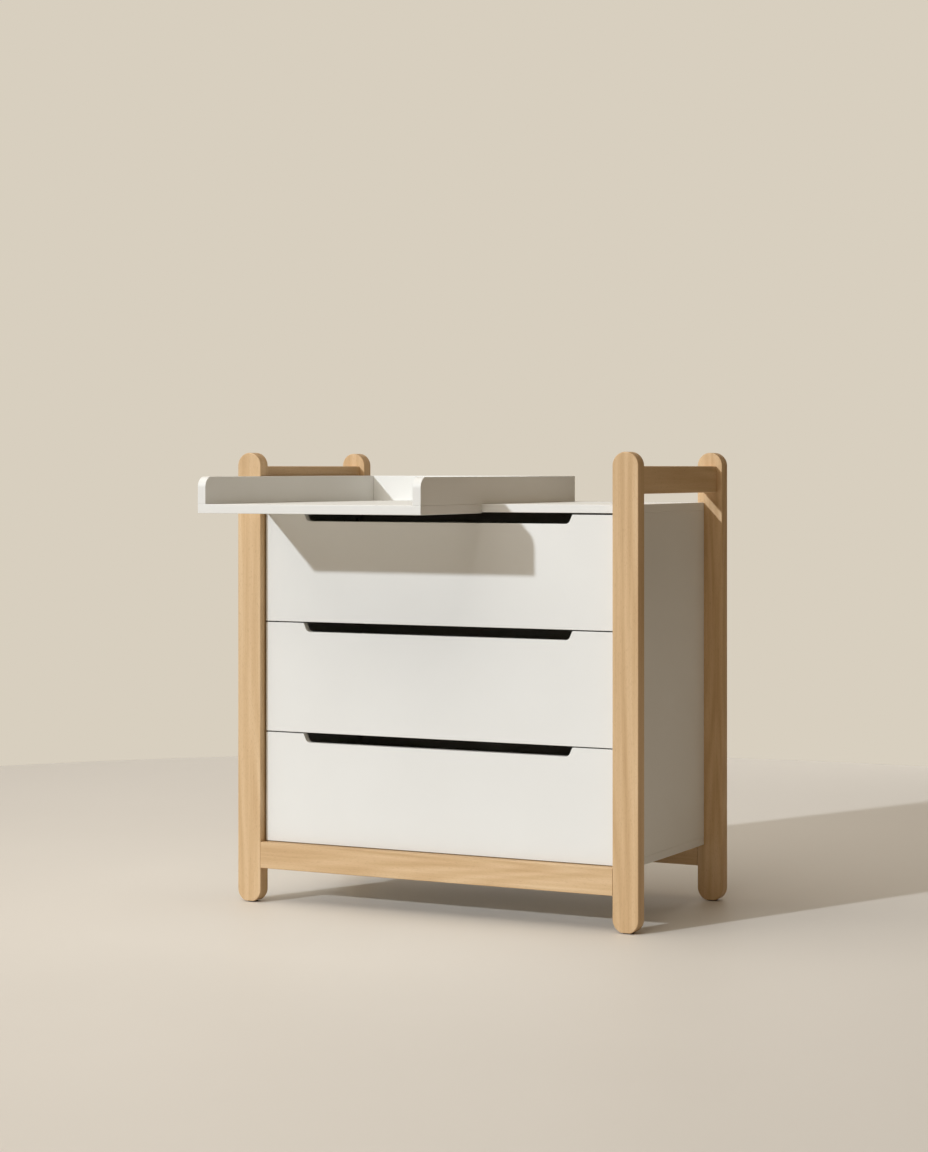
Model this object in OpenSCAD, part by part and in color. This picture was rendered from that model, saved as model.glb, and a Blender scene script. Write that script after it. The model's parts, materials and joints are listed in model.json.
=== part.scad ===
// Changing table: a three-drawer chest carried in a solid wood frame, with a three-sided
// changing top that stands on the left of the chest and reaches out past its front.
// Millimetres, +Z up, front towards -Y. The origin is on the floor, under the middle of
// the whole outline.

/* [Overall size] */
// Height of the posts above the floor
overall_h = 920; // [765:1:1110]
// Width across the outer faces of the posts
overall_w = 892; // [800:1:1100]
// Depth from the front faces to the back faces of the posts
frame_d = 466; // [445:1:560]

/* [Wood frame] */
// Width of a post seen from the front
post_w = 54; // [45:0.5:66]
// Thickness of a post from front to back
post_t = 30; // [28:1:36]
// Rounding of the long edges of posts and rails
edge_r = 2; // [1:0.5:4]
// Height of the rails
rail_h = 53.5; // [44:0.5:60]
// Underside of the lower rails above the floor
rail_z = 71; // [50:1:90]
// Drop from the top of the posts to the top of the upper side rails
side_rail_drop = 27.5; // [24:0.5:34]

/* [Chest] */
// Thickness of the chest boards, drawer fronts and drawer sides
board_t = 16; // [13.5:0.1:19.5]
// Drop from the top of the posts to the top of the chest
top_drop = 102; // [92:1:130]
// How far the chest's bottom board starts below the top of the lower rails
chest_lap = 9.5; // [4:0.5:20]
// How far each side board stands outside the inner edge of its posts
side_out = 14.5; // [11:0.25:16.5]
// Setback of the drawer faces behind the front of the posts
face_back = 17; // [17:0.5:25]
// Thickness of the back board
back_t = 3; // [2.5:0.5:5]

/* [Drawers] */
// Gap between one drawer front and the next
drawer_gap = 2.5; // [2:0.5:4]
// Gap between the top drawer front and the top board
top_gap = 3.5; // [3.5:0.5:6]
// Clearance of the top drawer front under the extension board
ext_gap = 1.5; // [1:0.5:4]
// Gap between the bottom drawer front and the lower rail
rail_gap = 1.5; // [1:0.5:4]
// Gap between a drawer front and the post beside it
post_gap = 3; // [3:0.5:6]
// Least gap between a drawer front and the side board beside it
side_gap = 1.5; // [1:0.5:3]
// Length of the finger slot at its top
slot_len = 600; // [300:5:680]
// Depth of the finger slot
slot_depth = 18; // [14:1:26]
// Radius at the bottom corners of the finger slot
slot_r = 11; // [6:1:13]
// Slant of the finger slot's ends away from upright
slot_slant = 24; // [15:1:35]
// Height of the drawer sides
drawer_side_h = 150; // [130:1:155]
// Depth of the drawer box behind its front
drawer_depth = 360; // [352:1:380]
// How far a drawer pulls out
drawer_travel = 330; // [250:5:335]
// Thickness of the drawer bottoms
bottom_t = 4; // [3:0.5:6]

/* [Changing top] */
// Reach of the changing top in front of the posts
tray_over = 240; // [200:1:290]
// Width of the changing top
tray_w = 495; // [440:1:600]
// Thickness of the changing top's walls
wall_t = 18; // [15:0.5:20]
// Height of the walls above the chest's top
wall_h = 54; // [45:1:70]
// Thickness of the extension board
ext_t = 18; // [15:0.5:22]
// Radius of the walls' front upper corners
wall_r = 21; // [8:1:30]
// Gap between the changing top and the posts beside it
tray_gap = 2; // [1:0.5:3]
// Setback of the back wall from the back of the posts
tray_back = 7; // [3:1:15]

/* [Hidden] */
$fn = 48;
e = 1;                                     // overshoot of a cut past a surface
fit_c = 0.1;                               // clearance round a pin, dowel, screw or cam
slip = 0.5;                                // clearance round a board's notch
// main planes
yb = (frame_d + tray_over) / 2;            // back of the posts
yf = yb - frame_d;                         // front of the posts
yt = yf - tray_over;                       // front of the changing top
y_in_f = yf + post_t;                      // back face of the front posts
y_in_b = yb - post_t;                      // front face of the back posts
y_mid = (yf + yb) / 2;
post_x = overall_w / 2 - post_w / 2;       // middle of a post
post_in = overall_w / 2 - post_w;          // inner edge of a post
side_rail_z = overall_h - side_rail_drop - rail_h;
// chest
top_z = overall_h - top_drop;              // upper surface of the top board
top_u = top_z - board_t;                   // its underside
chest_z = rail_z + rail_h - chest_lap;     // underside of the bottom board
chest_in_z = chest_z + board_t;            // its upper surface
side_x1 = post_in + side_out;              // outer face of a side board
side_x0 = side_x1 - board_t;               // inner face of a side board
side_xc = (side_x0 + side_x1) / 2;
face_y = yf + face_back;                   // drawer faces and the top board's front edge
front_y = face_y + board_t;                // back of the drawer fronts
groove = board_t / 2 - 3;                  // depth of a groove for a thin board
groove_c = 0.2;                            // clearance each side of a board in its groove
back_y = y_in_b - 13;                      // front of the back board
// drawers
front_x = min(post_in - post_gap, side_x0 - side_gap);    // half the width of a front
drawer_z = rail_z + rail_h + rail_gap;     // bottom of the lowest front
drawer_top = min(top_u - top_gap, top_z - ext_t - ext_gap);
front_h = (drawer_top - drawer_z - 2 * drawer_gap) / 3;
box_z = 15;                                // drawer sides start this far up their front
bottom_z = box_z + 12;                     // underside of the drawer bottom
runner_t = 12.7;                           // room a runner takes beside the drawer
runner_h = 45;
runner_l = 350;
runner_y = front_y + 2;
runner_zc = box_z + drawer_side_h / 2;
sheet = 1.2;                               // steel of the runners
box_x1 = side_x0 - runner_t;               // outer face of a drawer side
box_x0 = box_x1 - board_t;
box_y1 = front_y + drawer_depth;
// changing top
tray_x0 = -post_in + tray_gap;
tray_x1 = tray_x0 + tray_w;
tray_y1 = yb - tray_back;
wall_z = top_z + wall_h;
// fittings
glide_t = 2.4;                             // pad under each post
glide_d = 22;
cam_r = 7.5;
cam_off = board_t / 2;                     // stud axis below the face that holds the cam
cam_h = cam_off + 4.2;
cam_dist = 34;                             // joint face to cam axis
stud_in = 11;                              // threaded end of a stud
dowel_r = 4;
dowel_in = 10;                             // dowel in the face board, then in the end grain
dowel_out = 20;
plate_t = 2;                               // steel of the brackets
plate_w = 40;
leg = 32;
short_screw = [3.5, 14, 7];                // shank, length, head
tray_screw = [4.5, 43, 9];
long_screw = [6.4, 50, 10];
bracket_xs = [-1, 0, 1] * (post_in - 92);
tip_xs = [-1, 1] * (post_in - 92);
bracket_pitch = 22;
bracket_v = 17;                            // screw row down the upright leg
bracket_r = 23;                            // screw row along the flat leg
tip_hole_r = 3;
wood = [0.80, 0.65, 0.45];
white = [0.90, 0.90, 0.87];
inside = [0.82, 0.81, 0.77];
steel = [0.66, 0.67, 0.69];
zinc = [0.72, 0.72, 0.70];
plastic = [0.25, 0.24, 0.22];

function dz(i) = drawer_z + i * (front_h + drawer_gap);

// Joints: each is [point on the joint face, turn]. Untouched, a fitting runs along X, with its
// long end at +X, and a cam opens towards -Z.
rail_cams = [for (sx = [-1, 1], y = [yf + post_t / 2, yb - post_t / 2])
    [[sx * post_in, y, rail_z + cam_off], [0, 0, sx > 0 ? 180 : 0]]];
rail_dowels = [for (sx = [-1, 1], y = [yf + post_t / 2, yb - post_t / 2])
    [[sx * post_in, y, rail_z + rail_h - 14], [0, 0, sx > 0 ? 180 : 0]]];
upper_cams = [for (sx = [-1, 1], j = [[y_in_f, 90], [y_in_b, -90]])
    [[sx * post_x, j[0], side_rail_z + cam_off], [0, 0, j[1]]]];
upper_dowels = [for (sx = [-1, 1], j = [[y_in_f, 90], [y_in_b, -90]])
    [[sx * post_x, j[0], side_rail_z + rail_h - 14], [0, 0, j[1]]]];
side_stud_zs = [chest_in_z + 29, dz(1) - drawer_gap / 2, dz(2) - drawer_gap / 2, top_u - 30];
side_cams = [for (sx = [-1, 1], z = side_stud_zs, j = [[y_in_f, 90], [y_in_b, -90]])
    [[sx * side_xc, j[0], z], [-sx * j[1] < 0 ? 90 : -90, 0, j[1]]]];
top_cams = [for (sx = [-1, 1], y = [y_in_f + 90, y_in_b - 90])
    [[sx * side_xc, y, top_u], [0, 90, sx > 0 ? 0 : 180]]];
top_dowels = [for (sx = [-1, 1], y = [y_in_f + 58, y_in_b - 58])
    [[sx * side_xc, y, top_u], [0, 90, 0]]];
tray_dowels = [for (j = [[tray_x0 + wall_t, 0], [tray_x1 - wall_t, 180]], z = [16, wall_h - 16])
    [[j[0], tray_y1 - wall_t / 2, top_z + z], [0, 0, j[1]]]];
bottom_screws = [for (sx = [-1, 1], y = [y_in_f + 50, y_mid, y_in_b - 50])
    [[sx * side_xc, y, chest_z], [0, -90, 0]]];
tray_pins = [for (i = [0:3])
    [[tray_x0 + 45 + i * (tray_w - 90) / 3, face_y, top_u + board_t / 2], [0, 0, 90]]];
ext_screws = [for (x = [tray_x0 + wall_t / 2, tray_x1 - wall_t / 2], k = [0.13, 0.47, 0.81])
    [[x, yt + k * (face_y - yt), top_z - ext_t], [0, -90, 0]]];
wall_screws = [for (x = [tray_x0 + wall_t / 2, tray_x1 - wall_t / 2],
    y = [y_in_f + 120, y_mid + 60, back_y - 15]) [[x, y, top_u], [0, -90, 0]]];
back_wall_screws = [for (k = [0.38, 0.58, 0.78])
    [[tray_x0 + k * tray_w, tray_y1 - wall_t / 2, top_u], [0, -90, 0]]];
// the brackets' screws: upright leg into the rail, flat leg into the bottom board
rail_screws = [for (x = bracket_xs, p = [-0.5, 0.5] * bracket_pitch,
    j = [[y_in_f + plate_t, -90], [y_in_b - plate_t, 90]])
    [[x + p, j[0], chest_z - bracket_v], [0, 0, j[1]]]];
board_screws = [for (x = bracket_xs, p = [-0.5, 0.5] * bracket_pitch,
    y = [y_in_f + bracket_r, y_in_b - bracket_r])
    [[x + p, y, chest_z - plate_t], [0, -90, 0]]];
tip_screws = [for (x = tip_xs, p = [-0.5, 0.5] * bracket_pitch)
    [[x + p, yb - 15, top_u - plate_t], [0, -90, 0]]];
runner_ys = [30, runner_l * 0.46, runner_l - 30];
function cabinet_screws(sx) = [for (i = [0:2], y = runner_ys)
    [[sx * (side_x0 - sheet), runner_y + y, dz(i) + runner_zc], [0, 0, sx > 0 ? 0 : 180]]];
function box_runner_screws(i) = [for (sx = [-1, 1], y = runner_ys)
    [[sx * (box_x1 + sheet), runner_y + y, dz(i) + runner_zc], [0, 0, sx > 0 ? 180 : 0]]];
box_fix_zs = [25, drawer_side_h - 25];
function box_cams(i) = [for (sx = [-1, 1], z = box_fix_zs)
    [[sx * (box_x0 + box_x1) / 2, front_y, dz(i) + box_z + z], [sx > 0 ? -90 : 90, 0, 90]]];
function box_screws(i) = [for (sx = [-1, 1], z = box_fix_zs)
    [[sx * box_x1, box_y1 - board_t / 2, dz(i) + box_z + z], [0, 0, sx > 0 ? 180 : 0]]];
// the joints on one side of the table (sx) and, if sy is not 0, near its front or back
function near(l, sx, sy = 0) = [for (j = l)
    if (sign(j[0][0]) == sx && (sy == 0 || sign(j[0][1] - y_mid) == sy)) j];
function near_y(l, sy) = [for (j = l) if (sign(j[0][1] - y_mid) == sy) j];

// ---------- shared shapes ----------

module box(a, b) translate(a) cube(b - a);

module at(l) for (j = l) translate(j[0]) rotate(j[1]) children();

// a rectangle with rounded corners, centred
module soft_rect(w, h, r) {
    square([w - 2 * r, h], center = true);
    square([w, h - 2 * r], center = true);
    for (x = [-1, 1], y = [-1, 1]) translate([x * (w / 2 - r), y * (h / 2 - r)]) circle(r);
}

// a stick with rounded long edges, from x0 to x1 along X
module stick(x0, x1, h, t) translate([x0, 0, 0]) rotate([90, 0, 90]) linear_extrude(x1 - x0)
    soft_rect(t, h, edge_r);

module stud() rotate([0, 90, 0]) {
    translate([0, 0, -stud_in + 0.5]) cylinder(r = 2.5, h = cam_dist + stud_in - 4.5);
    translate([0, 0, cam_dist - 4]) cylinder(r = 1.8, h = 3.5);
    translate([0, 0, cam_dist - 1.5]) cylinder(r = 3.2, h = 3);
}

module cam_at() translate([cam_dist, 0, -cam_off]) children();

module cam() difference() {
    cam_at() translate([0, 0, 0.2]) cylinder(r = cam_r - fit_c, h = cam_h - 0.4);
    rotate([0, 90, 0]) translate([0, 0, cam_dist - cam_r - e]) cylinder(r = 3.5, h = cam_r + e + 3);
    cam_at() for (a = [0, 90]) rotate(a) translate([-5, -0.6, -e]) cube([10, 1.2, e + 2]);
}

module cam_cut() {
    cam_at() translate([0, 0, -e]) cylinder(r = cam_r, h = cam_h + e);
    rotate([0, 90, 0]) translate([0, 0, -e]) cylinder(r = 3.6, h = cam_dist + e);
}

module stud_cut() rotate([0, 90, 0]) translate([0, 0, -stud_in]) cylinder(r = 2.5 + fit_c, h = stud_in + e);

module dowel(c = 0) rotate([0, 90, 0]) translate([0, 0, -dowel_in - c])
    cylinder(r = dowel_r + c, h = dowel_in + dowel_out - 1 + 2 * c);

module pin(c = 0) rotate([0, 90, 0]) translate([0, 0, -30 - c]) cylinder(r = 4 + c, h = 60 + 2 * c);

// countersunk screw: head at x = 0, point at +X; c grows it into its own hole
module screw(s, c = 0) rotate([0, 90, 0]) {
    cylinder(r1 = s[2] / 2 + c, r2 = s[0] / 2 + c, h = (s[2] - s[0]) / 2);
    cylinder(r = s[0] / 2 + c, h = s[1] - 3 + c);
    translate([0, 0, s[1] - 3 + c]) cylinder(r1 = s[0] / 2 + c, r2 = 0.4 + c, h = 3);
    if (c > 0) translate([0, 0, -e]) cylinder(r = s[2] / 2 + c, h = e);
}

// ---------- wood frame ----------

module post(sx, sy) color(wood) difference() {
    translate([sx * post_x, sy < 0 ? yf + post_t / 2 : yb - post_t / 2, 0]) difference() {
        union() {
            translate([0, 0, post_w / 2]) linear_extrude(overall_h - post_w)
                soft_rect(post_w, post_t, edge_r);
            for (z = [post_w / 2, overall_h - post_w / 2]) translate([0, 0, z]) rotate([90, 0, 0])
                rotate_extrude($fn = 96) intersection() {
                    soft_rect(post_w, post_t, edge_r);
                    translate([0, -post_t]) square([post_w, 2 * post_t]);
                }
        }
        translate([-post_w, -post_t, -e]) cube([2 * post_w, 2 * post_t, glide_t + e]);
        cylinder(r = 1.25 + fit_c, h = 16);
    }
    at(near(concat(rail_cams, upper_cams, side_cams), sx, sy)) stud_cut();
    at(near(concat(rail_dowels, upper_dowels), sx, sy)) dowel(fit_c);
}

module side_rail(sx) color(wood) difference() {
    translate([sx * post_x, 0, side_rail_z + rail_h / 2]) rotate([0, 0, 90])
        stick(y_in_f, y_in_b, rail_h, post_t);
    at(near(upper_cams, sx)) cam_cut();
    at(near(upper_dowels, sx)) dowel(fit_c);
}

module lower_rail(sy) color(wood) difference() {
    translate([0, sy < 0 ? yf + post_t / 2 : yb - post_t / 2, rail_z + rail_h / 2])
        stick(-post_in, post_in, rail_h, post_t);
    at(near_y(rail_cams, sy)) cam_cut();
    at(near_y(rail_dowels, sy)) dowel(fit_c);
    at(near_y(rail_screws, sy)) screw(short_screw, fit_c);
}

module foot_glides() color(plastic) for (x = [-1, 1] * post_x, y = [yf + post_t / 2, yb - post_t / 2])
    translate([x, y, 0]) {
        cylinder(d = glide_d, h = glide_t);
        cylinder(r = 1.25, h = 15);
    }

// ---------- chest ----------

module side_board(sx) color(white) difference() {
    box([min(sx * side_x0, sx * side_x1), y_in_f, chest_in_z],
        [max(sx * side_x0, sx * side_x1), y_in_b, top_u]);
    at(near(concat(side_cams, top_cams), sx)) cam_cut();
    at(near(top_dowels, sx)) dowel(fit_c);
    at(near(bottom_screws, sx)) screw(long_screw, fit_c);
    at(cabinet_screws(sx)) screw(short_screw, fit_c);
    back_board_room();
}

// the back board with its clearance, which cuts the grooves that hold it
module back_board_room() box(
    [-side_x0 - groove, back_y - groove_c, chest_in_z - groove],
    [side_x0 + groove, back_y + back_t + groove_c, top_u + groove]);

module bottom_board() color(white) difference() {
    box([-side_x1, max(front_y + 1, y_in_f + slip), chest_z], [side_x1, y_in_b - slip, chest_in_z]);
    at(bottom_screws) screw(long_screw, fit_c);
    at(board_screws) screw(short_screw, fit_c);
    back_board_room();
}

module top_board() color(white) difference() {
    union() {
        box([-post_in + slip, face_y, top_u], [post_in - slip, yb - 2, top_z]);
        box([-side_x1, y_in_f + slip, top_u], [side_x1, y_in_b - slip, top_z]);
    }
    at(top_cams) stud_cut();
    at(top_dowels) dowel(fit_c);
    at(tray_pins) pin(fit_c);
    at(concat(wall_screws, back_wall_screws)) screw(tray_screw, fit_c);
    at(tip_screws) screw(short_screw, fit_c);
    back_board_room();
}

module back_board() color(inside) box(
    [-side_x0 - groove + slip, back_y, chest_in_z - groove + slip],
    [side_x0 + groove - slip, back_y + back_t, top_u + groove - slip]);

module wood_dowels() color(wood) at(concat(rail_dowels, upper_dowels, top_dowels, tray_dowels)) dowel();

module cam_studs() color(steel) at(concat(rail_cams, upper_cams, side_cams, top_cams)) stud();

module cam_discs() color(zinc) at(concat(rail_cams, upper_cams, side_cams, top_cams)) cam();

module long_screws() color(steel) at(bottom_screws) screw(long_screw);

// a steel angle: flat leg along +Y under a board at z = 0, upright leg downwards at y = 0
module angle() {
    box([-plate_w / 2, 0, -plate_t], [plate_w / 2, leg, 0]);
    box([-plate_w / 2, 0, -leg], [plate_w / 2, plate_t, 0]);
}

module rail_brackets() color(steel) difference() {
    for (x = bracket_xs) {
        translate([x, y_in_f, chest_z]) angle();
        translate([x, y_in_b, chest_z]) rotate(180) angle();
    }
    at(concat(rail_screws, board_screws)) screw(short_screw, fit_c);
}

module anti_tip_brackets() color(steel) difference() {
    for (x = tip_xs) translate([x, yb, top_u]) rotate(180) angle();
    at(tip_screws) screw(short_screw, fit_c);
    for (x = tip_xs) translate([x, yb + e, top_u - 19]) rotate([90, 0, 0])
        cylinder(r = tip_hole_r, h = plate_t + 2 * e);
}

module bracket_screws() color(steel) at(concat(rail_screws, board_screws, tip_screws)) screw(short_screw);

// ---------- changing top ----------

module extension_board() color(white) difference() {
    box([tray_x0, yt, top_z - ext_t], [tray_x1, face_y, top_z]);
    at(tray_pins) pin(fit_c);
    at(ext_screws) screw(tray_screw, fit_c);
}

module tray_side_wall(x0) color(white) difference() {
    translate([x0, 0, 0]) rotate([90, 0, 90]) linear_extrude(wall_t) {
        translate([yt + wall_r, top_z]) square([tray_y1 - yt - wall_r, wall_h]);
        translate([yt, top_z]) square([wall_r, wall_h - wall_r]);
        translate([yt + wall_r, wall_z - wall_r]) circle(wall_r, $fn = 64);
    }
    at(concat(ext_screws, wall_screws)) screw(tray_screw, fit_c);
    at(tray_dowels) dowel(fit_c);
}

module tray_back_wall() color(white) difference() {
    box([tray_x0 + wall_t, tray_y1 - wall_t, top_z], [tray_x1 - wall_t, tray_y1, wall_z]);
    at(back_wall_screws) screw(tray_screw, fit_c);
    at(tray_dowels) dowel(fit_c);
}

module extension_pins() color(steel) at(tray_pins) pin();

module tray_screws() color(steel) at(concat(ext_screws, wall_screws, back_wall_screws)) screw(tray_screw);

// ---------- runners ----------

// a channel along +Y: its back at x, opening towards dir, half height h, depth d
module channel(x, dir, h, d) translate([0, runner_y, 0]) {
    box([min(x, x + dir * sheet), 0, -h], [max(x, x + dir * sheet), runner_l, h]);
    for (z = [-h, h - sheet]) box([min(x, x + dir * d), 0, z], [max(x, x + dir * d), runner_l, z + sheet]);
}

module outer_runners() color(steel) difference() {
    for (i = [0:2], sx = [-1, 1]) translate([0, 0, dz(i) + runner_zc])
        channel(sx * side_x0, -sx, runner_h / 2, 10.4);
    for (sx = [-1, 1]) at(cabinet_screws(sx)) screw(short_screw, fit_c);
}

module outer_runner_screws() color(steel) for (sx = [-1, 1]) at(cabinet_screws(sx)) screw(short_screw);

module middle_runners(i) color(steel) for (sx = [-1, 1]) translate([0, 0, dz(i) + runner_zc])
    channel(sx * (side_x0 - 2.4), -sx, runner_h / 2 - 3, 8.6);

module inner_runners(i) color(steel) difference() {
    for (sx = [-1, 1]) translate([0, 0, dz(i) + runner_zc])
        channel(sx * box_x1, sx, runner_h / 2 - 6.4, 7.6);
    at(box_runner_screws(i)) screw(short_screw, fit_c);
}

// ---------- drawers ----------

// the finger slot's outline, its top edge on y = 0, reaching down by slot_depth
module slot_shape() {
    run = slot_depth * tan(slot_slant);
    back = slot_r * tan((90 - slot_slant) / 2);
    difference() {
        polygon([[-slot_len / 2 - e * tan(slot_slant), e], [-slot_len / 2 + run, -slot_depth],
            [slot_len / 2 - run, -slot_depth], [slot_len / 2 + e * tan(slot_slant), e]]);
        for (s = [-1, 1]) difference() {
            translate([s * (slot_len / 2 - run), -slot_depth]) polygon([[0, 0], [-s * back, 0],
                [-s * back, back * cos(slot_slant)], [s * back * sin(slot_slant), back * cos(slot_slant)]]);
            translate([s * (slot_len / 2 - run - back), slot_r - slot_depth]) circle(slot_r);
        }
    }
}

module floor_room(i, c) box(
    [-box_x0 - groove + c, front_y - groove + c, dz(i) + bottom_z - groove_c],
    [box_x0 + groove - c, box_y1 - board_t + groove - c, dz(i) + bottom_z + bottom_t + groove_c]);

module drawer_front(i) color(white) difference() {
    translate([0, front_y, dz(i)]) rotate([90, 0, 0]) linear_extrude(board_t) difference() {
        translate([-front_x, 0]) square([2 * front_x, front_h]);
        translate([0, front_h]) slot_shape();
    }
    at(box_cams(i)) stud_cut();
    floor_room(i, 0);
}

module drawer_side(i, sx) color(inside) difference() {
    box([min(sx * box_x0, sx * box_x1), front_y, dz(i) + box_z],
        [max(sx * box_x0, sx * box_x1), box_y1, dz(i) + box_z + drawer_side_h]);
    at(near(box_cams(i), sx)) cam_cut();
    at(near(box_screws(i), sx)) screw(long_screw, fit_c);
    at(near(box_runner_screws(i), sx)) screw(short_screw, fit_c);
    floor_room(i, 0);
}

module drawer_back(i) color(inside) difference() {
    box([-box_x0, box_y1 - board_t, dz(i) + box_z], [box_x0, box_y1, dz(i) + box_z + drawer_side_h]);
    at(box_screws(i)) screw(long_screw, fit_c);
    floor_room(i, 0);
}

module drawer_floor(i) color(inside) box(
    [-box_x0 - groove + slip, front_y - groove + slip, dz(i) + bottom_z],
    [box_x0 + groove - slip, box_y1 - board_t + groove - slip, dz(i) + bottom_z + bottom_t]);

module drawer_cams(i) {
    color(steel) at(box_cams(i)) stud();
    color(zinc) at(box_cams(i)) cam();
}

module drawer_screws(i) color(steel) at(box_screws(i)) screw(long_screw);

module drawer_runner_screws(i) color(steel) at(box_runner_screws(i)) screw(short_screw);

// ---------- nodes ----------

post(-1, -1);  // front_left_post
post(1, -1);  // front_right_post
post(-1, 1);  // back_left_post
post(1, 1);  // back_right_post
side_rail(-1);  // left_side_rail
side_rail(1);  // right_side_rail
lower_rail(-1);  // front_rail
lower_rail(1);  // back_rail
foot_glides();
side_board(-1);  // left_side_board
side_board(1);  // right_side_board
bottom_board();
top_board();
back_board();
wood_dowels();
cam_studs();
cam_discs();
long_screws();
rail_brackets();
anti_tip_brackets();
bracket_screws();
extension_board();
tray_side_wall(tray_x0);  // tray_left_wall
tray_side_wall(tray_x1 - wall_t);  // tray_right_wall
tray_back_wall();
extension_pins();
tray_screws();
outer_runners();
outer_runner_screws();
drawer_front(0);  // bottom_drawer_front
drawer_side(0, -1);  // bottom_drawer_left_side
drawer_side(0, 1);  // bottom_drawer_right_side
drawer_back(0);  // bottom_drawer_back
drawer_floor(0);  // bottom_drawer_floor
drawer_cams(0);  // bottom_drawer_cams
drawer_screws(0);  // bottom_drawer_screws
inner_runners(0);  // bottom_drawer_inner_runners
drawer_runner_screws(0);  // bottom_drawer_runner_screws
middle_runners(0);  // bottom_drawer_middle_runners
drawer_front(1);  // middle_drawer_front
drawer_side(1, -1);  // middle_drawer_left_side
drawer_side(1, 1);  // middle_drawer_right_side
drawer_back(1);  // middle_drawer_back
drawer_floor(1);  // middle_drawer_floor
drawer_cams(1);  // middle_drawer_cams
drawer_screws(1);  // middle_drawer_screws
inner_runners(1);  // middle_drawer_inner_runners
drawer_runner_screws(1);  // middle_drawer_runner_screws
middle_runners(1);  // middle_drawer_middle_runners
drawer_front(2);  // top_drawer_front
drawer_side(2, -1);  // top_drawer_left_side
drawer_side(2, 1);  // top_drawer_right_side
drawer_back(2);  // top_drawer_back
drawer_floor(2);  // top_drawer_floor
drawer_cams(2);  // top_drawer_cams
drawer_screws(2);  // top_drawer_screws
inner_runners(2);  // top_drawer_inner_runners
drawer_runner_screws(2);  // top_drawer_runner_screws
middle_runners(2);  // top_drawer_middle_runners
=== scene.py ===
"""Changing table: a three-drawer chest in a solid wood frame, with a three-walled changing top
that reaches out in front. Sizes are in metres."""
import json
from math import cos, pi, radians, sin, tan

import bmesh
import bpy
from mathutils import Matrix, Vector


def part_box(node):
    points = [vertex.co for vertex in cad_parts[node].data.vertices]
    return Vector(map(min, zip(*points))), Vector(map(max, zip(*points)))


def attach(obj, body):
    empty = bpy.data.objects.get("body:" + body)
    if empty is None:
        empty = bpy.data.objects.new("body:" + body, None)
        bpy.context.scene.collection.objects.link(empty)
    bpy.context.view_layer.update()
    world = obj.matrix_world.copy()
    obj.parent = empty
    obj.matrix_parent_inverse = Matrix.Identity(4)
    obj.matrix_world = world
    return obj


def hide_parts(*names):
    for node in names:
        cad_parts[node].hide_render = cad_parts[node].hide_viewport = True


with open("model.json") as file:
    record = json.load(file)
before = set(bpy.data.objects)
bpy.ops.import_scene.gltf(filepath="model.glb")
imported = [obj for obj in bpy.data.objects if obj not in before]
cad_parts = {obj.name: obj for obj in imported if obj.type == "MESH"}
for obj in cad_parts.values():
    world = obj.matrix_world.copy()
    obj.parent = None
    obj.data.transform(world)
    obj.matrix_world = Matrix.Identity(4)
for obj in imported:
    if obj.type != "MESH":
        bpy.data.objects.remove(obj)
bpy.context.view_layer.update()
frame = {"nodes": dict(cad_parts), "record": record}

# ---- Posts ------------------------------------------------------------------------------
# Four sticks of light solid wood with fully round ends and eased edges, sawn and sanded in
# one piece and finished with clear oil. The bottom of each is cut flat for its glide.

POST_EDGE = 0.002          # radius sanded on the long edges
POST_EDGE_STEPS = 5
ARC_STEPS = 44             # round of one post end
TURNED_FOLD = radians(50)  # a fold sharper than this stays crisp


class Wire:
    """A socket of a node tree. Arithmetic on wires adds Math nodes."""

    def __init__(self, tree, socket):
        self.tree, self.socket = tree, socket

    def calc(self, operation, *terms):
        node = self.tree.nodes.new("ShaderNodeMath")
        node.operation = operation
        for place, term in enumerate(terms):
            if isinstance(term, Wire):
                self.tree.links.new(term.socket, node.inputs[place])
            else:
                node.inputs[place].default_value = term
        return Wire(self.tree, node.outputs[0])

    def __add__(self, other):
        return self.calc("ADD", self, other)

    def __sub__(self, other):
        return self.calc("SUBTRACT", self, other)

    def __rsub__(self, other):
        return self.calc("SUBTRACT", other, self)

    def __mul__(self, other):
        return self.calc("MULTIPLY", self, other)

    def __truediv__(self, other):
        return self.calc("DIVIDE", self, other)

    def __abs__(self):
        return self.calc("ABSOLUTE", self)

    __radd__, __rmul__ = __add__, __mul__

    def sine(self):
        return self.calc("SINE", self)

    def rest(self):
        return self.calc("FRACT", self)

    def at_most(self, other):
        return self.calc("MINIMUM", self, other)

    def at_least(self, other):
        return self.calc("MAXIMUM", self, other)

    def between(self, low, high):
        """0 at low, 1 at high, and no further either way."""
        return ((self - low) / (high - low)).at_least(0.0).at_most(1.0)


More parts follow.
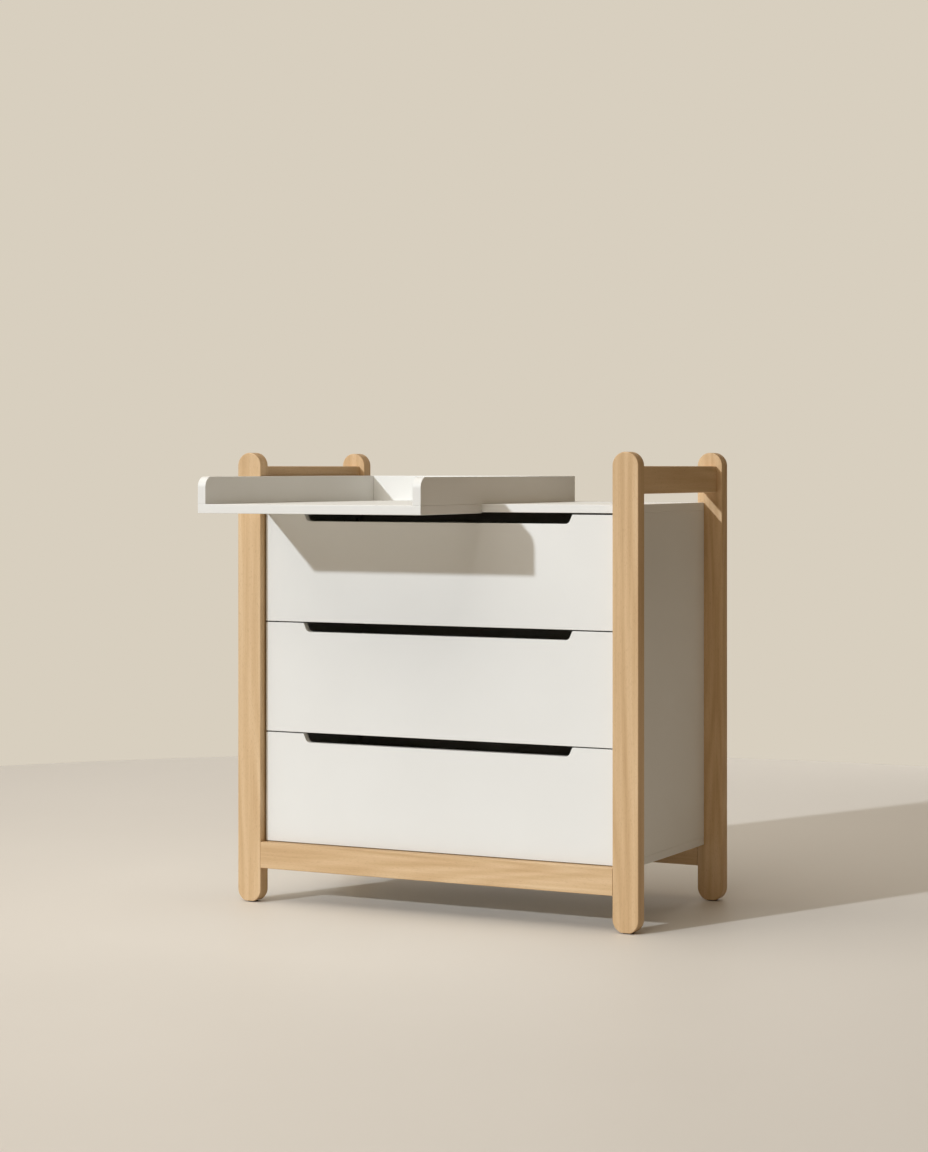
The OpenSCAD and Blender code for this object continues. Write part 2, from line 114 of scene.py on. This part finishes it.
class Wiring:
    """A node tree being filled in."""

    def __init__(self, tree):
        self.tree = tree

    def node(self, kind, settings=None, sockets=None, output=0):
        node = self.tree.nodes.new(kind)
        for name, value in (settings or {}).items():
            if name == "stops":
                ramp = node.color_ramp.elements
                while len(ramp) < len(value):
                    ramp.new(0.5)
                for stop, (place, colour) in zip(ramp, value):
                    stop.position, stop.color = place, (*colour, 1)
            else:
                setattr(node, name, value)
        for name, value in (sockets or {}).items():
            if isinstance(value, Wire):
                self.tree.links.new(value.socket, node.inputs[name])
            else:
                node.inputs[name].default_value = value
        return Wire(self.tree, node.outputs[output])

    def parts(self, vector):
        node = self.tree.nodes.new("ShaderNodeSeparateXYZ")
        self.tree.links.new(vector.socket, node.inputs[0])
        return [Wire(self.tree, socket) for socket in node.outputs]

    def mixed(self, share, first, second):
        """A colour between two; each is a colour or a wire. 6, 7 and 2 are the colour sockets."""
        fill = {0: share}
        for place, colour in ((6, first), (7, second)):
            fill[place] = colour if isinstance(colour, Wire) else (*colour, 1)
        return self.node("ShaderNodeMix", {"data_type": "RGBA"}, fill, 2)


class Finish(Wiring):
    """A material built round one Principled shader. The keywords are its plain values."""

    def __init__(self, name, **plain):
        self.material = bpy.data.materials.new(name)
        self.material.use_nodes = True
        super().__init__(self.material.node_tree)
        self.shader = self.tree.nodes["Principled BSDF"]
        for socket, value in plain.items():
            self.shader.inputs[socket.replace("_", " ")].default_value = value
        self.place = self.node("ShaderNodeTexCoord", output="Object")

    def feed(self, socket, wire):
        self.tree.links.new(wire.socket, self.shader.inputs[socket])

    def noise(self, scale, detail=2.0, rough=0.5, distortion=0.0):
        """Noise on the piece's own place; scale is in cells per metre, one number or X, Y, Z."""
        if isinstance(scale, (int, float)):
            scale = (scale,) * 3
        spread = self.node("ShaderNodeMapping", {}, {"Vector": self.place, "Scale": scale})
        return self.node("ShaderNodeTexNoise", {}, {
            "Vector": spread, "Scale": 1.0, "Detail": detail, "Roughness": rough,
            "Distortion": distortion})

    def bumped(self, height, strength, distance):
        self.feed("Normal", self.node("ShaderNodeBump", {}, {
            "Height": height, "Strength": strength, "Distance": distance}))


def oiled_wood(name, grain):
    """Light close-grained wood under clear oil. grain is the axis the fibres run along."""
    wood = Finish(name, IOR=1.47)

    def fibres(across, along, detail, distortion=0.0):
        scale = [across] * 3
        scale[grain] = along
        return wood.noise(scale, detail, 0.55, distortion)

    field = fibres(11, 0.9, 1, 0.3)
    rings = (field * 75).sine() * 0.5 + 0.5
    drift = fibres(9, 0.7, 2)
    streaks = fibres(130, 2.4, 3, 0.25)
    threads = fibres(700, 14, 3)
    flecks = fibres(1100, 150, 1).between(0.60, 0.70)
    tone = rings * 0.11 + drift * 0.39 + streaks * 0.32 + threads * 0.18
    colour = wood.node("ShaderNodeValToRGB", {"stops": [
        (0.34, (0.530, 0.335, 0.160)), (0.45, (0.612, 0.408, 0.212)),
        (0.54, (0.660, 0.454, 0.248)), (0.66, (0.728, 0.524, 0.308))]}, {"Fac": tone})
    colour = wood.mixed(flecks * 0.28, colour, (0.37, 0.21, 0.10))
    facing = wood.parts(wood.node("ShaderNodeNewGeometry", output="Normal"))[grain]
    end_grain = abs(facing).between(0.35, 0.98)
    pores = wood.noise(1500, 2).between(0.50, 0.66)
    colour = wood.mixed(end_grain * 0.40, colour, (0.43, 0.262, 0.130))
    colour = wood.mixed(end_grain * pores * 0.5, colour, (0.24, 0.13, 0.06))
    wood.feed("Base Color", colour)
    wood.feed("Roughness", 0.44 + 0.14 * threads + 0.10 * flecks + 0.08 * end_grain)
    wood.bumped(threads * 0.6 + streaks * 0.4 - flecks * 0.7, 0.22, 0.0003)
    return wood.material


upright_wood = oiled_wood("oiled_wood_upright", 2)


def place_piece(name, shape, finish, node, fold):
    """Makes a bmesh into a smooth-shaded piece that stands for a CAD node and rides with it.
    Folds sharper than fold stay crisp."""
    mesh = bpy.data.meshes.new(name)
    shape.to_mesh(mesh)
    shape.free()
    mesh.shade_smooth()
    mesh.set_sharp_from_angle(angle=fold)
    piece = bpy.data.objects.new(name, mesh)
    bpy.context.scene.collection.objects.link(piece)
    mesh.materials.append(finish)
    shading = piece.modifiers.new("flat faces stay flat", "WEIGHTED_NORMAL")
    shading.keep_sharp = True
    record_as(piece, node)


def record_as(piece, node):
    """piece stands for a CAD node: it rides with the node's body, and the node is hidden."""
    record = frame["record"]
    bodies = record["behaviour"]["bodies"]
    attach(piece, next(body for body in bodies if node in bodies[body]))
    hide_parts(node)


def skin(shape, rings):
    """Faces between rings of equal length, and a face on each end."""
    rows = [[shape.verts.new(point) for point in ring] for ring in rings]
    for low, high in zip(rows, rows[1:]):
        for k in range(len(low)):
            n = (k + 1) % len(low)
            shape.faces.new((low[k], low[n], high[n], high[k]))
    shape.faces.new(rows[0])
    shape.faces.new(rows[-1])
    bmesh.ops.recalc_face_normals(shape, faces=shape.faces)


def round_over(low, high, radius, steps):
    """Pairs of place and inset that ease the edges of something between low and high."""
    turns = [pi / 2 * k / steps for k in range(steps + 1)]
    near = [(low + radius * (1 - sin(t)), radius * (1 - cos(t))) for t in turns]
    return near[::-1] + [(low + high - place, inset) for place, inset in near]


def stick_ring(low, high, y, inset):
    """The outline of a post between two corners: straight sides, round ends, and a flat foot."""
    middle = (low.x + high.x) / 2
    half = (high.x - low.x) / 2
    points = []
    for centre, start in ((high.z - half, 0), (half, pi)):
        for k in range(ARC_STEPS + 1):
            turn = start + pi * k / ARC_STEPS
            height = centre + (half - inset) * sin(turn)
            points.append((middle + (half - inset) * cos(turn), y, max(height, low.z)))
    return points


for post in ("front_left_post", "front_right_post", "back_left_post", "back_right_post"):
    low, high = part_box(post)
    shape = bmesh.new()
    skin(shape, [stick_ring(low, high, y, inset)
                 for y, inset in round_over(low.y, high.y, POST_EDGE, POST_EDGE_STEPS)])
    place_piece(post + "_stick", shape, upright_wood, post, TURNED_FOLD)

# ---- Rails ------------------------------------------------------------------------------
# Four rails of the same wood, planed to the posts' thickness and eased all round. Two tie the
# posts in front and behind near the floor, two join them at the sides. Each end is bored for
# a dowel and for the cam that draws it up to its post.

RAIL_END_EASE = 0.0004
RIM_FOLD = radians(55)     # least fold of an edge that is eased
HOLE_SPAN = 0.020          # edges that close within this belong to a drilled hole
EASE_STEPS = 2
BOARD_FOLD = radians(35)
WELD = 1e-6                # points closer than this are one point
FLAT = radians(0.2)        # faces that fold less than this are one face

crosswise_wood = oiled_wood("oiled_wood_crosswise", 0)
lengthwise_wood = oiled_wood("oiled_wood_lengthwise", 1)


def rims(shape):
    """The outward sharp edges of a shape, without those round its drilled holes."""
    sharp = {e for e in shape.edges
             if e.is_manifold and e.is_convex and e.calc_face_angle(0) > RIM_FOLD}
    kept = []
    while sharp:
        chain, ahead = [], [sharp.pop()]
        while ahead:
            edge = ahead.pop()
            chain.append(edge)
            for vert in edge.verts:
                for other in vert.link_edges:
                    if other in sharp:
                        sharp.remove(other)
                        ahead.append(other)
        points = [v.co for e in chain for v in e.verts]
        if max(max(p[k] for p in points) - min(p[k] for p in points) for k in range(3)) > HOLE_SPAN:
            kept += chain
    return kept


def ease(shape, width):
    """Rounds the rims and marks the new faces, which the matt coats paint a little lighter, a
    painted highlight, and make a little glossier.
    """
    mark = shape.faces.layers.float.new("eased")
    made = bmesh.ops.bevel(shape, geom=rims(shape), offset=width, segments=EASE_STEPS, profile=0.5,
                           affect="EDGES", clamp_overlap=False)
    for face in made["faces"]:
        face[mark] = 1.0


def cad_shape(node):
    """A CAD node's mesh with its loose triangles welded together."""
    shape = bmesh.new()
    shape.from_mesh(frame["nodes"][node].data)
    bmesh.ops.remove_doubles(shape, verts=shape.verts, dist=WELD)
    return shape


def eased_copy(node, finish, width):
    """A CAD piece with its edges eased and its drilled holes and grooves kept."""
    shape = cad_shape(node)
    bmesh.ops.dissolve_limit(shape, angle_limit=FLAT, verts=shape.verts, edges=shape.edges)
    ease(shape, width)
    place_piece(node + "_eased", shape, finish, node, BOARD_FOLD)


for rail, finish in (("front_rail", crosswise_wood), ("back_rail", crosswise_wood),
                     ("left_side_rail", lengthwise_wood), ("right_side_rail", lengthwise_wood)):
    eased_copy(rail, finish, RAIL_END_EASE)

# ---- Glides -----------------------------------------------------------------------------
# A dark nylon pad nailed under each post, turned with a soft rim.

PAD_RIM = 0.0006
PAD_SIDES = 48
NAIL_RIM = 0.3             # share of the nail's radius
NAIL_SIDES = 12
RIM_STEPS = 3

dark_nylon = Finish("dark_nylon", IOR=1.5)
grit = dark_nylon.noise(2600, 2)
scuffs = dark_nylon.noise((260, 900, 400), 3).between(0.55, 0.75)
dark_nylon.feed("Base Color", dark_nylon.mixed(
    scuffs * 0.5, (0.030, 0.027, 0.024), (0.085, 0.078, 0.070)))
dark_nylon.feed("Roughness", 0.42 + 0.25 * grit + 0.15 * scuffs)
dark_nylon.bumped(grit, 0.25, 0.0002)


def solids_of(node):
    """The separate solids of a CAD node, each as its lowest and highest corner and its points."""
    shape = cad_shape(node)
    left, found = set(shape.verts), []
    while left:
        reached, ahead = [], [left.pop()]
        while ahead:
            vert = ahead.pop()
            reached.append(vert.co.copy())
            for edge in vert.link_edges:
                other = edge.other_vert(vert)
                if other in left:
                    left.remove(other)
                    ahead.append(other)
        low = Vector([min(p[k] for p in reached) for k in range(3)])
        high = Vector([max(p[k] for p in reached) for k in range(3)])
        found.append((low, high, reached))
    shape.free()
    return sorted(found, key=lambda solid: tuple(round(v, 4) for v in solid[0]))


shape = bmesh.new()
for low, high, points in solids_of("foot_glides"):
    centre = (low + high) / 2
    reach = (high.x - low.x) / 2
    pad_top = max(p.z for p in points if abs(p.x - centre.x) > reach / 2)
    nail = max(abs(p.x - centre.x) for p in points if p.z > pad_top + PAD_RIM)
    for sides, bottom, top, radius, rim in (
            (PAD_SIDES, low.z, pad_top, reach, PAD_RIM),
            (NAIL_SIDES, pad_top, high.z, nail, nail * NAIL_RIM)):
        turns = [2 * pi * k / sides for k in range(sides)]
        rings = []
        for z, inset in round_over(bottom, top, rim, RIM_STEPS):
            r = radius - inset
            rings.append([(centre.x + r * cos(t), centre.y + r * sin(t), z) for t in turns])
        skin(shape, rings)
place_piece("foot_glide_pads", shape, dark_nylon.material, "foot_glides", TURNED_FOLD)

# ---- Chest boards -----------------------------------------------------------------------
# Coated board, 16 mm: two sides, a bottom and a top notched round the posts, all with the
# same smooth matt white coat and finely eased edges. The thin back board slides in grooves.

BOARD_EASE = 0.0008
THIN_BOARD_EASE = 0.0004


def matt_coat(name, light, shade, speck=0.0):
    """A sprayed coat: a faint cloudiness, a very fine texture, and on eased edges a little less
    roughness and a painted highlight.
    """
    coat = Finish(name, IOR=1.5)
    clouds = coat.noise(5, 3)
    texture = coat.noise(1400, 2)
    dust = coat.noise(420, 1).between(0.70, 0.76)
    eased = coat.node("ShaderNodeAttribute", {"attribute_name": "eased"}, output="Fac")
    colour = coat.mixed(clouds.between(0.3, 0.7), shade, light)
    colour = coat.mixed(dust * speck, colour, tuple(v * 0.72 for v in shade))
    # painted highlight: the eased edge faces are painted lighter than the coat's own colour
    colour = coat.mixed(eased * 0.5, colour, tuple(min(v * 1.06, 1) for v in light))
    coat.feed("Base Color", colour)
    coat.feed("Roughness", 0.40 + 0.10 * texture + 0.08 * clouds - 0.10 * eased)
    coat.bumped(texture, 0.10, 0.00015)
    return coat.material


white_coat = matt_coat("matt_white_coat", (0.800, 0.797, 0.768), (0.782, 0.777, 0.746))
inner_coat = matt_coat("off_white_foil", (0.742, 0.733, 0.700), (0.716, 0.706, 0.670), 0.35)

for board in ("left_side_board", "right_side_board", "bottom_board", "top_board"):
    eased_copy(board, white_coat, BOARD_EASE)
eased_copy("back_board", inner_coat, THIN_BOARD_EASE)

# ---- Dowels, screws and pins ------------------------------------------------------------
# Fluted beech dowels and steel pins line the boards up. Countersunk screws with a cross
# recess hold them: long ones in the chest and drawers, short ones in brackets and runners.

PIN_CHAMFER = 0.0008
RECESS_WIDTH = 0.22        # shares of the head's radius
RECESS_REACH = 1.05
RECESS_DEPTH = 0.35
TIP_SLOPE = 0.55           # radius of a screw's point per metre from its end
TIP_RADIUS = 0.0003
PEG_RINGS = 24
SIDES = 16
FLUTES = 18
END_SHARE = 0.02           # points this near a fitting's end, as a share of its length, are on it

dowel_wood = oiled_wood("plain_dowel_wood", 1)

zinc_plate = Finish("zinc_plate", Metallic=1.0)
wisps = zinc_plate.noise(60, 3, 0.6, 0.8)
scratches = zinc_plate.noise((160, 90, 2400), 2)
zinc_plate.feed("Base Color", zinc_plate.mixed(
    wisps.between(0.3, 0.7), (0.57, 0.58, 0.585), (0.65, 0.65, 0.635)))
zinc_plate.feed("Roughness", 0.27 + 0.08 * wisps + 0.16 * scratches)
zinc_plate.bumped(scratches, 0.12, 0.0001)


def ends_of(node):
    """Where each long fitting of a CAD node starts, at its wider end, and which way it points."""
    found = []
    for low, high, points in solids_of(node):
        size = high - low
        axis = max(range(3), key=lambda k: size[k])
        centre = (low + high) / 2

        def spread(end):
            close = [p for p in points if abs(p[axis] - end) < size[axis] * END_SHARE]
            return max(max(abs(p[k] - centre[k]) for k in range(3) if k != axis) for p in close)

        sign = 1 if spread(low[axis]) >= spread(high[axis]) - WELD else -1
        start, towards = centre.copy(), Vector((0, 0, 0))
        start[axis] = low[axis] if sign > 0 else high[axis]
        towards[axis] = sign
        found.append((start, towards))
    return found


def fitting_tree(name, sizes, rings, profile, cutters=None):
    """Geometry nodes that turn a fitting of revolution and set a copy at each point. sizes names
    the size inputs; the rest give the ring count, the radius at z, and the shapes to cut out."""
    tree = bpy.data.node_groups.new(name, "GeometryNodeTree")
    tree.interface.new_socket("Geometry", in_out="INPUT", socket_type="NodeSocketGeometry")
    for size in sizes:
        tree.interface.new_socket(size, in_out="INPUT", socket_type="NodeSocketFloat")
    tree.interface.new_socket("Material", in_out="INPUT", socket_type="NodeSocketMaterial")
    tree.interface.new_socket("Geometry", in_out="OUTPUT", socket_type="NodeSocketGeometry")
    plan = Wiring(tree)
    entry = tree.nodes.new("NodeGroupInput")
    given = {socket.name: Wire(tree, socket) for socket in entry.outputs if socket.name}
    end = plan.node("ShaderNodeCombineXYZ", {}, {"Z": given["Length"]})
    line = plan.node("GeometryNodeCurvePrimitiveLine", {}, {"End": end})
    line = plan.node("GeometryNodeResampleCurve", {}, {"Curve": line, "Count": rings(given)})
    z = plan.parts(plan.node("GeometryNodeInputPosition"))[2]
    if "Flutes" in given:
        ring = plan.node("GeometryNodeCurveStar", {}, {
            "Points": FLUTES, "Inner Radius": 1 - given["Flutes"], "Outer Radius": 1.0})
    else:
        ring = plan.node("GeometryNodeCurvePrimitiveCircle", {}, {
            "Resolution": SIDES, "Radius": 1.0})
    body = plan.node("GeometryNodeCurveToMesh", {}, {
        "Curve": line, "Profile Curve": ring, "Scale": profile(plan, given, z), "Fill Caps": True})
    if cutters:
        body = plan.node("GeometryNodeMeshBoolean", {"operation": "DIFFERENCE", "solver": "EXACT"},
                         {"Mesh 1": body})
        for cut in cutters(plan, given):
            tree.links.new(cut.socket, body.socket.node.inputs["Mesh 2"])
    towards = plan.node("GeometryNodeInputNamedAttribute", {"data_type": "FLOAT_VECTOR"},
                        {"Name": "towards"})
    turned = plan.node("FunctionNodeAlignRotationToVector", {"axis": "Z"}, {"Vector": towards})
    copies = plan.node("GeometryNodeInstanceOnPoints", {}, {
        "Points": given["Geometry"], "Instance": body, "Rotation": turned})
    whole = plan.node("GeometryNodeRealizeInstances", {}, {"Geometry": copies})
    whole = plan.node("GeometryNodeSetMaterial", {}, {
        "Geometry": whole, "Material": given["Material"]})
    leave = tree.nodes.new("NodeGroupOutput")
    tree.links.new(whole.socket, leave.inputs[0])
    return tree


def set_row(name, tree, node, finish, **sizes):
    """One piece for all the fittings of a CAD node, made by a fitting tree."""
    ends = ends_of(node)
    mesh = bpy.data.meshes.new(name)
    mesh.from_pydata([start for start, towards in ends], [], [])
    directions = mesh.attributes.new("towards", "FLOAT_VECTOR", "POINT")
    for place, (start, towards) in enumerate(ends):
        directions.data[place].vector = towards
    row = bpy.data.objects.new(name + "_places", mesh)
    bpy.context.scene.collection.objects.link(row)
    modifier = row.modifiers.new("fittings", "NODES")
    modifier.node_group = tree
    for item in tree.interface.items_tree:
        if item.in_out == "INPUT" and item.name in sizes:
            modifier[item.identifier] = sizes[item.name]
        if item.in_out == "INPUT" and item.name == "Material":
            modifier[item.identifier] = finish
    bpy.context.view_layer.update()
    graph = bpy.context.evaluated_depsgraph_get()
    made = bpy.data.meshes.new_from_object(row.evaluated_get(graph))
    bpy.data.objects.remove(row)
    made.name = name
    made.shade_smooth()
    made.set_sharp_from_angle(angle=BOARD_FOLD)
    piece = bpy.data.objects.new(name, made)
    bpy.context.scene.collection.objects.link(piece)
    record_as(piece, node)


def screw_rings(given):
    return given["Length"] / given["Pitch"] * 2 + 1


def screw_profile(plan, given, z):
    ridge = abs((z / given["Pitch"]).rest() - 0.5) * 2
    shank = given["Shank radius"] - given["Thread depth"] * ridge
    tip = (given["Length"] - z) * TIP_SLOPE + TIP_RADIUS
    return shank.at_most(tip).at_least(given["Head radius"] - z)


def cross_recess(plan, given):
    across = given["Head radius"] * RECESS_REACH
    thin = given["Head radius"] * RECESS_WIDTH
    deep = given["Head radius"] * RECESS_DEPTH * 2
    return [plan.node("GeometryNodeMeshCube", {}, {"Size": plan.node(
        "ShaderNodeCombineXYZ", {}, {"X": x, "Y": y, "Z": deep})})
        for x, y in ((across, thin), (thin, across))]


def peg_rings(given):
    return PEG_RINGS


def peg_profile(plan, given, z):
    narrow = given["Radius"] - given["Chamfer"]
    return (narrow + z).at_most(narrow + (given["Length"] - z)).at_most(given["Radius"])


screw_tree = fitting_tree("countersunk_screws", (
    "Length", "Head radius", "Shank radius", "Pitch", "Thread depth"),
    screw_rings, screw_profile, cross_recess)
dowel_tree = fitting_tree("fluted_dowels", ("Length", "Radius", "Chamfer", "Flutes"),
                          peg_rings, peg_profile)
pin_tree = fitting_tree("smooth_pins", ("Length", "Radius", "Chamfer"), peg_rings, peg_profile)

SHORT_SCREW = {"Length": 0.014, "Head radius": 0.0035, "Shank radius": 0.00175, "Pitch": 0.0016,
               "Thread depth": 0.0004}
TOP_SCREW = {"Length": 0.043, "Head radius": 0.0045, "Shank radius": 0.00225, "Pitch": 0.0022,
             "Thread depth": 0.0005}
LONG_SCREW = {"Length": 0.050, "Head radius": 0.005, "Shank radius": 0.0032, "Pitch": 0.0028,
              "Thread depth": 0.0007}

set_row("dowels_fluted", dowel_tree, "wood_dowels", dowel_wood,
        Length=0.029, Radius=0.004, Chamfer=PIN_CHAMFER, Flutes=0.06)
set_row("extension_pins_turned", pin_tree, "extension_pins", zinc_plate.material,
        Length=0.060, Radius=0.004, Chamfer=PIN_CHAMFER)
set_row("chest_long_screws", screw_tree, "long_screws", zinc_plate.material, **LONG_SCREW)
set_row("changing_top_screws", screw_tree, "tray_screws", zinc_plate.material, **TOP_SCREW)
set_row("bracket_short_screws", screw_tree, "bracket_screws", zinc_plate.material, **SHORT_SCREW)
set_row("cabinet_runner_screws", screw_tree, "outer_runner_screws", zinc_plate.material,
        **SHORT_SCREW)

# ---- Cams and brackets ------------------------------------------------------------------
# Die-cast cam discs with a cross slot grip the studs' heads. Six pressed angles carry the
# chest on the lower rails, and two more behind it are for fixing to a wall.

PLATE_EASE = 0.0005

cast_zinc = Finish("cast_zinc", Metallic=0.9)
blotch = cast_zinc.noise(240, 3)
cast_zinc.feed("Base Color", cast_zinc.mixed(
    blotch.between(0.35, 0.7), (0.44, 0.44, 0.43), (0.58, 0.575, 0.56)))
cast_zinc.feed("Roughness", 0.42 + 0.20 * blotch)
cast_zinc.bumped(blotch, 0.25, 0.0002)

for node in ("cam_studs", "cam_discs", "bottom_drawer_cams", "middle_drawer_cams",
             "top_drawer_cams"):
    for slot in frame["nodes"][node].material_slots:
        slot.material = cast_zinc.material
eased_copy("rail_brackets", zinc_plate.material, PLATE_EASE)
eased_copy("anti_tip_brackets", zinc_plate.material, PLATE_EASE)

# ---- Changing top -----------------------------------------------------------------------
# Three walls of 18 mm board stand on the chest's top and on an extension board that butts
# against its front edge. The side walls' front upper corners are rounded.

WALL_EASE = 0.0010
WALL_CORNER = 0.021
CORNER_STEPS = 20


def plate(outline, axis, low, high, width):
    """A board cut to an outline in the plane across axis, with its rims eased."""
    shape = bmesh.new()

    def point(end, u, v):
        place = [u, v]
        place.insert(axis, end)
        return place

    skin(shape, [[point(end, u, v) for u, v in outline] for end in (low, high)])
    ease(shape, width)
    return shape


eased_copy("extension_board", white_coat, WALL_EASE)
for wall in ("tray_left_wall", "tray_right_wall"):
    low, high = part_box(wall)
    front = [(low.y + WALL_CORNER * (1 - sin(t)), high.z - WALL_CORNER * (1 - cos(t)))
             for t in (pi / 2 * k / CORNER_STEPS for k in range(CORNER_STEPS + 1))]
    outline = [(low.y, low.z), (high.y, low.z), (high.y, high.z)] + front
    place_piece(wall + "_board", plate(outline, 0, low.x, high.x, WALL_EASE), white_coat, wall,
                BOARD_FOLD)
low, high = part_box("tray_back_wall")
outline = [(low.x, low.z), (high.x, low.z), (high.x, high.z), (low.x, high.z)]
place_piece("tray_back_wall_board", plate(outline, 1, low.y, high.y, WALL_EASE), white_coat,
            "tray_back_wall", BOARD_FOLD)

# ---- Runners ----------------------------------------------------------------------------
# Three nested steel channels each side of every drawer, roll-formed from zinc-plated strip:
# one on the chest, one between, and one on the drawer.

CHANNEL_EASE = 0.0005
DRAWERS = ("bottom_drawer", "middle_drawer", "top_drawer")

eased_copy("outer_runners", zinc_plate.material, CHANNEL_EASE)
for drawer in DRAWERS:
    eased_copy(drawer + "_middle_runners", zinc_plate.material, CHANNEL_EASE)
    eased_copy(drawer + "_inner_runners", zinc_plate.material, CHANNEL_EASE)

# ---- Drawers ----------------------------------------------------------------------------
# Each front is one white board with a long finger slot sawn in its top edge, slanted at the
# ends and round in the corners. The box behind it is foil-coated board round a thin floor.

SLOT_LENGTH = 0.600
SLOT_DEPTH = 0.018
SLOT_RADIUS = 0.011
SLOT_SLANT = radians(24)
SLOT_STEPS = 12
FRONT_EASE = 0.0009

bend = pi / 2 - SLOT_SLANT                                      # turn of a bottom corner
foot = SLOT_LENGTH / 2 - SLOT_DEPTH * tan(SLOT_SLANT)           # where the corner would be sharp
arc_x = foot - SLOT_RADIUS * tan(bend / 2)                      # centre of the round instead

for drawer in DRAWERS:
    low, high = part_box(drawer + "_front")
    half_slot = [(SLOT_LENGTH / 2, high.z)]
    for k in range(SLOT_STEPS + 1):
        turn = bend * (1 - k / SLOT_STEPS)
        half_slot.append((arc_x + SLOT_RADIUS * sin(turn),
                          high.z - SLOT_DEPTH + SLOT_RADIUS * (1 - cos(turn))))
    outline = [(low.x, low.z), (high.x, low.z), (high.x, high.z)] + half_slot
    outline += [(-x, z) for x, z in reversed(half_slot)] + [(low.x, high.z)]
    place_piece(drawer + "_front_board", plate(outline, 1, low.y, high.y, FRONT_EASE), white_coat,
                drawer + "_front", BOARD_FOLD)
    for part in ("left_side", "right_side", "back"):
        eased_copy(f"{drawer}_{part}", inner_coat, BOARD_EASE)
    eased_copy(drawer + "_floor", inner_coat, THIN_BOARD_EASE)
    set_row(drawer + "_long_screws", screw_tree, drawer + "_screws", zinc_plate.material,
            **LONG_SCREW)
    set_row(drawer + "_short_screws", screw_tree, drawer + "_runner_screws", zinc_plate.material,
            **SHORT_SCREW)

# ---- Room -------------------------------------------------------------------------------
# A round pale floor before a plain pale backdrop, one hard light and one soft light from the
# front left, and the camera. An unseen pale screen behind throws light back under the table.

FLOOR_REACH = 2.9
FLOOR_SIDES = 160
SCREEN_LEFT = -4.0
SCREEN_RIGHT = 0.7
SCREEN_TOP = 3.0
FLOOR_TINTS = (0.755, 0.715, 0.655), (0.795, 0.755, 0.695)
KEY_ALONG = (0.45, 1.0, -0.475)         # the way the key light shines
KEY_PLACE = (-2, -5, 3)
KEY_POWER = 2.02
KEY_SOFTNESS = radians(1.8)
KEY_TINT = (0.84, 0.90, 0.97)
SOFT_BOX_SIZE = 5.0
SOFT_BOX_POWER = 166
SOFT_BOX_PLACE = (-1.4, -1.9, 4.3)
SOFT_BOX_TINT = (1.0, 0.96, 0.885)
BACKDROP_TINT = (0.686, 0.624, 0.521)   # what the camera sees past the floor
FILL_TINT = (0.145, 0.103, 0.058)       # what the backdrop sends onto the table

pale = Finish("pale_floor", IOR=1.4)
haze = pale.noise(1.4, 4)
pale.feed("Base Color", pale.mixed(haze, *FLOOR_TINTS))
pale.feed("Roughness", 0.50 + 0.12 * haze)

disc = bmesh.new()
bmesh.ops.create_circle(disc, cap_ends=True, radius=FLOOR_REACH, segments=FLOOR_SIDES)
floor_mesh = bpy.data.meshes.new("floor")
disc.to_mesh(floor_mesh)
disc.free()
screen_mesh = bpy.data.meshes.new("screen")
screen_mesh.from_pydata([(x, FLOOR_REACH, z) for x, z in (
    (SCREEN_LEFT, 0), (SCREEN_RIGHT, 0), (SCREEN_RIGHT, SCREEN_TOP), (SCREEN_LEFT, SCREEN_TOP))],
    [], [(0, 1, 2, 3)])
for mesh in (floor_mesh, screen_mesh):
    mesh.materials.append(pale.material)
    surface = bpy.data.objects.new(mesh.name, mesh)
    surface.visible_camera = mesh == floor_mesh
    bpy.context.scene.collection.objects.link(surface)

key = bpy.data.lights.new("key_light", "SUN")
key.energy, key.angle, key.color = KEY_POWER, KEY_SOFTNESS, KEY_TINT
soft_box = bpy.data.lights.new("soft_box", "AREA")
soft_box.energy, soft_box.size, soft_box.color = SOFT_BOX_POWER, SOFT_BOX_SIZE, SOFT_BOX_TINT
for light, place, along in ((key, KEY_PLACE, KEY_ALONG),
                            (soft_box, SOFT_BOX_PLACE, (0, 0, -1))):
    holder = bpy.data.objects.new(light.name, light)
    holder.location = place
    holder.rotation_euler = Vector(along).to_track_quat("-Z", "Y").to_euler()
    bpy.context.scene.collection.objects.link(holder)

world = bpy.data.worlds.new("studio")
world.use_nodes = True
sky = Wiring(world.node_tree)
tint = sky.mixed(sky.node("ShaderNodeLightPath", output="Is Camera Ray"), FILL_TINT, BACKDROP_TINT)
world.node_tree.links.new(tint.socket, world.node_tree.nodes["Background"].inputs["Color"])
bpy.context.scene.world = world
bpy.context.scene.view_settings.view_transform = "Standard"

SENSOR = 36.0              # millimetres along the frame's long side
CAMERA_PLACE = (2.4249, -4.7470, 0.8889)
CAMERA_TURN = radians(26.894)
CAMERA_LENS = 82.66
CAMERA_SHIFT = -0.0938
lens = bpy.data.cameras.new("camera")
lens.sensor_width = SENSOR
lens.lens, lens.shift_y = CAMERA_LENS, CAMERA_SHIFT
camera = bpy.data.objects.new("camera", lens)
camera.location = CAMERA_PLACE
camera.rotation_euler = (pi / 2, 0, CAMERA_TURN)
bpy.context.scene.collection.objects.link(camera)
bpy.context.scene.camera = camera
